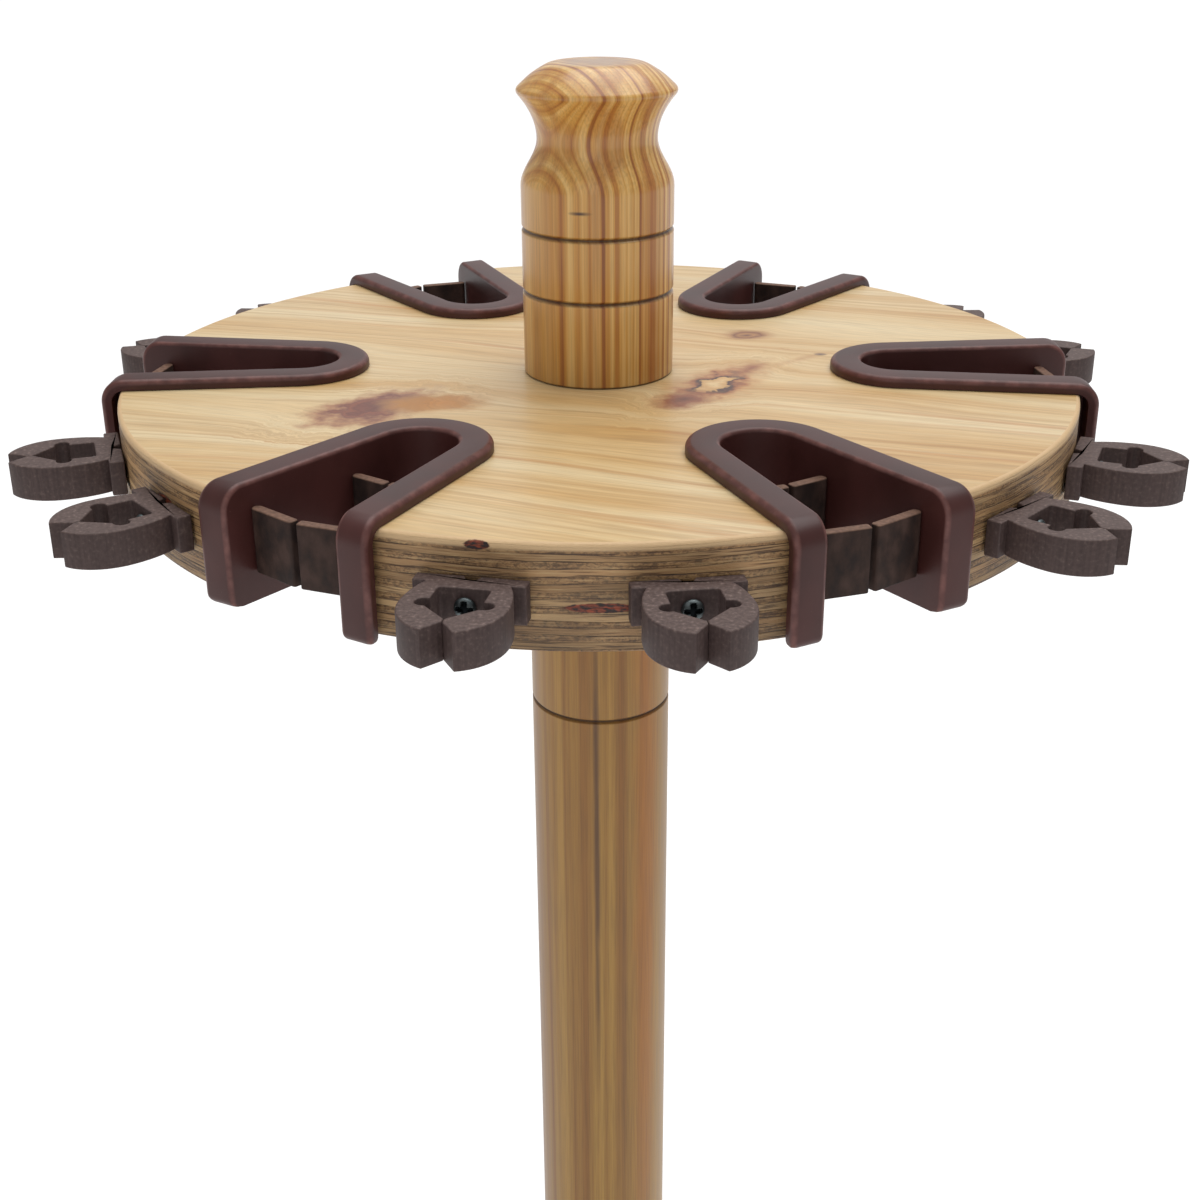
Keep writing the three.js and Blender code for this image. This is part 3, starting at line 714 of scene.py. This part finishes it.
# Painted shade in the two grooves, and a painted contact shadow at the foot where the knob stands on the
# disc.
knob_painted_shade = painted_groove_shade(knob_side, [DISC_TOP, KNOB_LOWER_GROOVE, KNOB_UPPER_GROOVE])
knob = lathe(knob_side, KNOB_FACES)
piece("turned_knob", knob, [KNOB_WOOD], "root", ["knob"], knob_painted_shade, crease=24)

POST_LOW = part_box("post")[0].z / MM
POST_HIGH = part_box("post")[1].z / MM
post_corners = [(LATHE_END, POST_LOW), (POST_RADIUS, POST_LOW)] + v_groove(POST_RADIUS, POST_GROOVE)
post_corners += [(POST_RADIUS, POST_HIGH), (LATHE_END, POST_HIGH)]
post_side = softened(post_corners, [POST_EDGE, *GROOVE_ROUNDS, POST_EDGE])
# Painted shade in the post's groove.
post_painted_shade = painted_groove_shade(post_side, [POST_GROOVE])
post = lathe(post_side, POST_FACES)
piece("turned_post", post, [POST_WOOD], "root", ["post"], post_painted_shade, crease=24)

BASE_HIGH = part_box("base_disc")[1].z / MM
base_outline = arc((0, 0), DISC_RADIUS, 0, 2 * math.pi, BASE_FACES)[:-1]
base_low = soft_rows(0, BASE_HIGH, BASE_LOWER_EDGE)[: EDGE_STEPS + 1]
base_high = soft_rows(0, BASE_HIGH, BASE_UPPER_EDGE)[EDGE_STEPS + 1 :]
base = slab(base_outline, np.concatenate([base_low, base_high]))
piece("round_base", base, [BASE_PLIES, VENEER], "root", ["base_disc"])


# ---- The disc and its slot hangers ----


def half_width(end_radius, x):
    """Half the width, at x from the axis, of the tapered outline whose round end has this radius."""
    return (end_radius + (x - SLOT_CENTRE) * math.sin(SLOT_FLARE)) / math.cos(SLOT_FLARE)


def disc_outline():
    """The disc's edge: arcs of the rim between the slots, and each slot's flared sides and round end."""
    radius = SLOT_END_RADIUS + HANGER_WALL + CLEARANCE
    tangent = math.pi / 2 + SLOT_FLARE
    end = arc((SLOT_CENTRE, 0), radius, -tangent, tangent - 2 * math.pi, 24)
    slope = math.tan(SLOT_FLARE)
    start = half_width(radius, 0)
    # The side y = start + slope x meets the rim where x squared and y squared make the radius squared.
    x = (-slope * start + math.sqrt(DISC_RADIUS**2 * (1 + slope**2) - start**2)) / (1 + slope**2)
    mouth = math.atan2(start + slope * x, x)
    rim = arc((0, 0), DISC_RADIUS, mouth, SLOT_PITCH - mouth, 48)
    one = np.concatenate([end, rim])
    return np.concatenate([turned_by(one, SLOT_PITCH * k) for k in range(SLOT_COUNT)])


disc = slab(disc_outline(), soft_rows(DISC_BOTTOM, DISC_TOP, DISC_EDGE, 5))
piece("plywood_disc", disc, [DISC_PLIES, VENEER], "root", ["top_disc"])

HANGER_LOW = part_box("hanger_1")[0].z / MM
HANGER_HIGH = DISC_TOP + HANGER_RISE

INNER_STEPS = 6  # along the section's two rounded edges
OUTER_STEPS = 7
HIDDEN_CORNERS = 4  # of the section, past those edges


def hanger_section():
    """The seen part of the moulding's cross section, as distances from the opening's centre line and depths
    below its face: quarter circles at the flange's inner and outer edges, with the flat face between
    them."""
    inner, outer = SLOT_END_RADIUS + HANGER_INNER_ROUND, SLOT_END_RADIUS + HANGER_FLANGE - HANGER_OUTER_ROUND
    face = 1.5 * math.pi
    near = arc((inner, HANGER_INNER_ROUND), HANGER_INNER_ROUND, math.pi, face, INNER_STEPS)
    far = arc((outer, HANGER_OUTER_ROUND), HANGER_OUTER_ROUND, face, 2 * math.pi, OUTER_STEPS)
    return np.concatenate([near, far])


WALL_AT_BEND = 1.6  # how far the wall's lower edge stands out past the bend's start: where the bend ends,
WALL_AT_FOOT = 4.0  # where the foot's rounding starts,
WALL_AT_END = 4.5  # and at the foot's end
HEEL_INNER = 0.8  # how far the foot's end draws in from the opening
HEEL_OUTER = 2.5  # and from the flange's outer edge


def hanger_stations():
    """Half of the moulding, from the middle of its round end to a foot, as a grid. Each station carries the
    section's points (r, h) to a place: (C + r cos a, r sin a, top - h) round the end, the same height along
    the flared side, an arc of radius bend - h over the rim, and (front - h, side, z) down to the foot,
    where the section closes in."""
    r, h = hanger_section().T
    inner, outer = SLOT_END_RADIUS, SLOT_END_RADIUS + HANGER_FLANGE
    wall = inner + HANGER_WALL
    bend_x, bend_z = HANGER_FRONT - HANGER_BEND, HANGER_HIGH - HANGER_BEND
    top_thick, front_thick = HANGER_RISE - CLEARANCE, HANGER_FRONT - HANGER_BACK
    grid = []

    def station(place, bottom_x, thick):
        rr = np.concatenate([r, [outer, wall, wall, inner]])
        hh = np.concatenate([h, [thick, thick, 0, 0]])
        x, y, z = place(rr, hh)
        for index, radius in ((-2, wall), (-1, inner)):
            z[index] = HANGER_LOW
            if bottom_x is not None:
                x[index] = bottom_x
                y[index] = half_width(radius, bottom_x)
        grid.append(np.stack([x, y, z], -1))

    tangent = math.pi / 2 + SLOT_FLARE
    for a in np.linspace(math.pi, tangent, 20):

        def end(rr, hh):
            return SLOT_CENTRE + rr * math.cos(a), rr * math.sin(a), HANGER_HIGH - hh

        station(end, None, top_thick)
    for t in np.linspace(0, 1, 8)[1:]:

        def side(rr, hh):
            x = (1 - t) * (SLOT_CENTRE - rr * math.sin(SLOT_FLARE)) + t * bend_x
            return x, half_width(rr, x), HANGER_HIGH - hh

        station(side, None, top_thick)
    for a in np.linspace(0, math.pi / 2, 11)[1:]:
        thick = top_thick + (front_thick - top_thick) * a / (math.pi / 2)

        def over(rr, hh):
            x = bend_x + (HANGER_BEND - hh) * math.sin(a)
            return x, half_width(rr, x), bend_z + (HANGER_BEND - hh) * math.cos(a)

        station(over, bend_x + WALL_AT_BEND * a / (math.pi / 2), thick)
    foot = HANGER_FOOT_ROUND
    for t in np.linspace(0, 1, 6)[1:]:

        def down(rr, hh):
            x = HANGER_FRONT - hh
            return x, half_width(rr, x), np.full(len(rr), bend_z + t * (HANGER_LOW + foot - bend_z))

        station(down, bend_x + WALL_AT_BEND + (WALL_AT_FOOT - WALL_AT_BEND) * t, front_thick)
    for a in np.linspace(0, math.pi / 2, 6)[1:]:
        close = 1 - math.cos(a)

        def heel(rr, hh):
            x = HANGER_FRONT - (foot * close + hh * (front_thick - foot * close) / front_thick)
            width = outer - inner - (HEEL_INNER + HEEL_OUTER) * close
            across = inner + HEEL_INNER * close + (rr - inner) * width / (outer - inner)
            return x, half_width(across, x), np.full(len(rr), HANGER_LOW + foot * (1 - math.sin(a)))

        bottom = bend_x + WALL_AT_FOOT + (WALL_AT_END - WALL_AT_FOOT) * a / (math.pi / 2)
        station(heel, bottom, front_thick)
    return np.stack(grid)


HALF_HANGER = hanger_stations()
WHOLE_HANGER = np.concatenate([HALF_HANGER[:0:-1] * [1, -1, 1], HALF_HANGER])
# The moulding's pale rubs, which also paint in the highlight, run along both rounded edges, most in the
# middle of each, and not where it is hidden.
hanger_rubs_and_highlight = [np.sin(np.linspace(0, math.pi, steps + 1)) for steps in (INNER_STEPS, OUTER_STEPS)]
hanger_rubs_and_highlight = np.concatenate(hanger_rubs_and_highlight + [np.zeros(HIDDEN_CORNERS)])

# Each pair's place, its hinge line's distance in from the rim, and its tilt towards the mouth.
FLAPS = (("outer", 7.5, math.radians(10)), ("inner", 53.0, math.radians(5)))


def flap_outline(inset, tilt, side):
    """A flap from above: a half circle about the hinge line, straight faces and a tip with round corners."""
    half, corner = FLAP_THICKNESS / 2, FLAP_TIP_ROUND
    x = DISC_RADIUS - inset
    root = half_width(SLOT_END_RADIUS, x) - (half + CLEARANCE) / math.cos(SLOT_FLARE)
    length = (root - FLAP_TIP_GAP / 2 - half * math.sin(tilt)) / math.cos(tilt)
    tip = length - corner
    outline = np.concatenate(
        [
            arc((0, 0), half, math.pi / 2, 1.5 * math.pi, 12),
            arc((tip, corner - half), corner, -math.pi / 2, 0, 5),
            arc((tip, half - corner), corner, 0, math.pi / 2, 5),
        ]
    )
    return turned_by(outline, side * (tilt - math.pi / 2)) + [x, side * root]


def flap(place, inset, tilt, side, angle):
    """A flap's grid and how rubbed each row is: its outline stacked from lower to upper edge, and turned to
    its slot.
    """
    low, high = (corner.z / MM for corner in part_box(f"{place}_flap_1_left"))
    rows = soft_rows(low, high, FLAP_EDGE, 3)
    wear_and_painted_light_per_point = np.interp(rows[:, 1], [high - FLAP_EDGE, high - FLAP_RUB, high], [0.0, 0.6, 1.0])[:, None]
    return turned_by(slab(flap_outline(inset, tilt, side), rows), angle), wear_and_painted_light_per_point


for k in range(SLOT_COUNT):
    number, angle = k + 1, SLOT_PITCH * k
    name, node = f"slot_moulding_{number}", f"hanger_{number}"
    piece(name, turned_by(WHOLE_HANGER, angle), [NYLON], "root", [node], hanger_rubs_and_highlight)
    for place, inset, tilt in FLAPS:
        for hand, side in (("left", 1), ("right", -1)):
            node = f"{place}_flap_{number}_{hand}"
            grid, wear_and_painted_light_per_point = flap(place, inset, tilt, side, angle)
            piece(f"rubber_{node}", grid, [RUBBER], node, [node], wear_and_painted_light_per_point)


# ---- Rim clips and their screws, drawn with +X out from the rim ----

CLIP_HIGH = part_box("clip_1")[1].z / MM
CLIP_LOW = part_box("clip_1")[0].z / MM


def clip_outline():
    """One clip from above, symmetric about X: a plate with a relief groove down its back, two quarter
    ellipses out to the lips, a narrow throat, and an opening with a flex notch on each side."""
    neck = math.pi - math.asin(CLIP_NECK_HALF_WIDTH / CLIP_RING_HALF_WIDTH)
    lip = math.asin(CLIP_LIP_HALF_WIDTH / CLIP_RING_HALF_WIDTH)
    middle, front = (CLIP_RING_MIDDLE, 0), CLIP_RING_FRONT
    back = (CLIP_RING_MIDDLE - CLIP_PLATE_THICKNESS) / -math.cos(neck)
    end = CLIP_PLATE_HALF_WIDTH - CLIP_PLATE_ROUND
    plate_front = (CLIP_PLATE_THICKNESS - CLIP_PLATE_ROUND, end)
    notch = CLIP_BACK + CLIP_OPENING_SIDE
    notch_middle = (notch + CLIP_NOTCH_RADIUS, CLIP_NOTCH_REACH - CLIP_NOTCH_RADIUS)
    corner = (CLIP_BACK + CLIP_BACK_ROUND, CLIP_OPENING_HALF_WIDTH - CLIP_BACK_ROUND)
    relief = CLIP_RELIEF_HALF_WIDTH
    gap = CLIP_THROAT_HALF_GAP
    half = [
        [[CLIP_RELIEF_DEPTH, relief / 2], [0.0, relief], [0.0, end]],
        arc((CLIP_PLATE_ROUND, end), CLIP_PLATE_ROUND, math.pi, math.pi / 2, 3)[1:],
        arc(plate_front, CLIP_PLATE_ROUND, math.pi / 2, 0, 3),
        arc(middle, back, neck, math.pi / 2, 12, CLIP_RING_HALF_WIDTH / back),
        arc(middle, front, math.pi / 2, lip, 14, CLIP_RING_HALF_WIDTH / front)[1:],
        [[CLIP_THROAT + CLIP_THROAT_LENGTH, gap], [CLIP_THROAT, gap]],
        [[notch + 2 * CLIP_NOTCH_RADIUS, CLIP_OPENING_HALF_WIDTH]],
        arc(notch_middle, CLIP_NOTCH_RADIUS, 0, math.pi, 10),
        [[notch, CLIP_OPENING_HALF_WIDTH]],
        arc(corner, CLIP_BACK_ROUND, math.pi / 2, math.pi, 4),
    ]
    half = np.concatenate([np.array(part, float) for part in half])
    return np.concatenate([half, mirrored(half)])[::-1]


def screw_grid():
    """A pan head screw with its tip inwards, and the painted shade of its recess: a lathe whose dome is sunk
    by a cross. The cross is full within 0.7 mm of either of its two lines and 2.4 mm of the middle, and runs
    out 0.3 and
    0.5 mm past them."""
    seat = CLIP_BACK + CLEARANCE
    dome = np.linspace(math.radians(8), math.pi / 2, 16)
    shank = [
        (SCREW_TIP_RADIUS, seat - SCREW_LENGTH),
        (SCREW_RADIUS, seat - SCREW_LENGTH + SCREW_RADIUS),
        (SCREW_RADIUS, seat - SCREW_NECK),
        (SCREW_HEAD_RADIUS - SCREW_HEAD_EDGE, seat),
        (SCREW_HEAD_RADIUS, seat + SCREW_HEAD_EDGE),
    ]
    foot = seat + SCREW_HEAD_RISE
    head = np.stack([SCREW_HEAD_RADIUS * np.cos(dome), foot + SCREW_DOME * np.sin(dome)], -1)
    head[-1, 0] = SCREW_DOME_END
    grid = lathe(np.concatenate([shank, head]), SCREW_FACES)
    x, y = grid[..., 0], grid[..., 1]
    arm = np.minimum(np.abs(x), np.abs(y))
    sunk = np.clip((RECESS_HALF_WIDTH - arm) / RECESS_SLOPE, 0, 1)
    sunk *= np.clip((RECESS_REACH - np.hypot(x, y)) / RECESS_END, 0, 1)
    sunk = np.where(np.arange(len(grid))[:, None] >= len(shank), sunk, 0)
    grid[..., 2] -= RECESS_DEPTH * sunk
    # The lathe's axis is laid along +X at half the clip's height.
    return np.stack([grid[..., 2], grid[..., 0], (CLIP_LOW + CLIP_HIGH) / 2 + grid[..., 1]], -1), sunk


clip_rows = soft_rows(CLIP_LOW, CLIP_HIGH, CLIP_EDGE, 3)
# Only the two sawn ends are pale, which also paints the highlight on the top face and its edge: the cut shows
# fully at an edge's outer row and less on each row in from it.
sawn = [1.0, 0.9, 0.7, 0.35]
clip_cut_and_highlight = np.array(sawn + sawn[::-1])[:, None]
CLIP = slab(clip_outline(), clip_rows)
SCREW, SCREW_RECESS_SHADE = screw_grid()

for i in range(2 * SLOT_COUNT):
    number = i + 1
    angle = SLOT_PITCH * (i // 2 + 0.5) + CLIP_SPREAD * (i % 2 - 0.5)
    clip = turned_by(CLIP + [CLIP_REACH, 0, 0], angle)
    screw = turned_by(SCREW + [CLIP_REACH, 0, 0], angle)
    piece(f"rim_clip_{number}", clip, [CLIP_PLASTIC], "root", [f"clip_{number}"], clip_cut_and_highlight)
    name, node = f"pan_head_screw_{number}", f"clip_screw_{number}"
    piece(name, screw, [ZINC], "root", [node], SCREW_RECESS_SHADE)

for node in ("knob_stud", "base_stud"):
    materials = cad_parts[node].data.materials
    materials.clear()
    materials.append(ZINC)


# ---- Floor, light and camera ----


def stage_mesh(name, vertices, faces, finish):
    """Something that isn't part of the object."""
    mesh = bpy.data.meshes.new(name)
    mesh.from_pydata(vertices, [], faces)
    mesh.materials.append(finish)
    made = bpy.data.objects.new(name, mesh)
    bpy.context.scene.collection.objects.link(made)


FLOOR_REACH = 60.0  # metres
FLOOR_DROP = 0.0005
paper = new_finish("pale_floor", base_color=linear("fafafa"), roughness=0.9)[0]
square = ((-1, -1), (1, -1), (1, 1), (-1, 1))
corners = [(x * FLOOR_REACH, y * FLOOR_REACH, -FLOOR_DROP) for x, y in square]
stage_mesh("floor", corners, [(0, 1, 2, 3)], paper)

world = bpy.data.worlds.new("soft_box")
bpy.context.scene.world = world
world.use_nodes = True
world.node_tree.nodes["Background"].inputs["Color"].default_value = (1.0, 1.0, 1.0, 1.0)
world.node_tree.nodes["Background"].inputs["Strength"].default_value = 0.4


def lamp(name, kind, place, turn, **settings):
    """A light at a place, turned by Euler angles in degrees."""
    data = bpy.data.lights.new(name, kind)
    for key, value in settings.items():
        setattr(data, key, value)
    made = bpy.data.objects.new(name, data)
    made.location = place
    made.rotation_euler = [math.radians(a) for a in turn]
    bpy.context.scene.collection.objects.link(made)


lamp("overhead", "SUN", (0, 0, 3), (-16, 8, 0), energy=2.35, angle=math.radians(60))
lamp("front_fill", "AREA", (-0.5, -2.2, 1.7), (62, 0, -13), energy=6.0, size=1.6)
lamp("back_glow", "AREA", (0.4, 2.6, 1.9), (-66, 0, 9), energy=8.0, size=2.5)

CAMERA_PLACE = (0.02222, -0.66982, 0.99490)
CAMERA_TURN = math.radians(1.9)  # to the left of straight ahead
CAMERA_TILT = math.radians(66.02)  # up from straight down
CAMERA_ROLL = math.radians(-0.35)
camera_data = bpy.data.cameras.new("camera")
camera_data.lens = 50.94
camera_data.sensor_width = 36.0
camera_data.clip_end = 200.0
camera = bpy.data.objects.new("camera", camera_data)
bpy.context.scene.collection.objects.link(camera)
turn = Matrix.Rotation(CAMERA_TURN, 4, "Z") @ Matrix.Rotation(CAMERA_TILT, 4, "X")
roll = Matrix.Rotation(CAMERA_ROLL, 4, "Z")
camera.matrix_world = Matrix.Translation(CAMERA_PLACE) @ turn @ roll
bpy.context.scene.camera = camera
bpy.context.scene.view_settings.view_transform = "Standard"
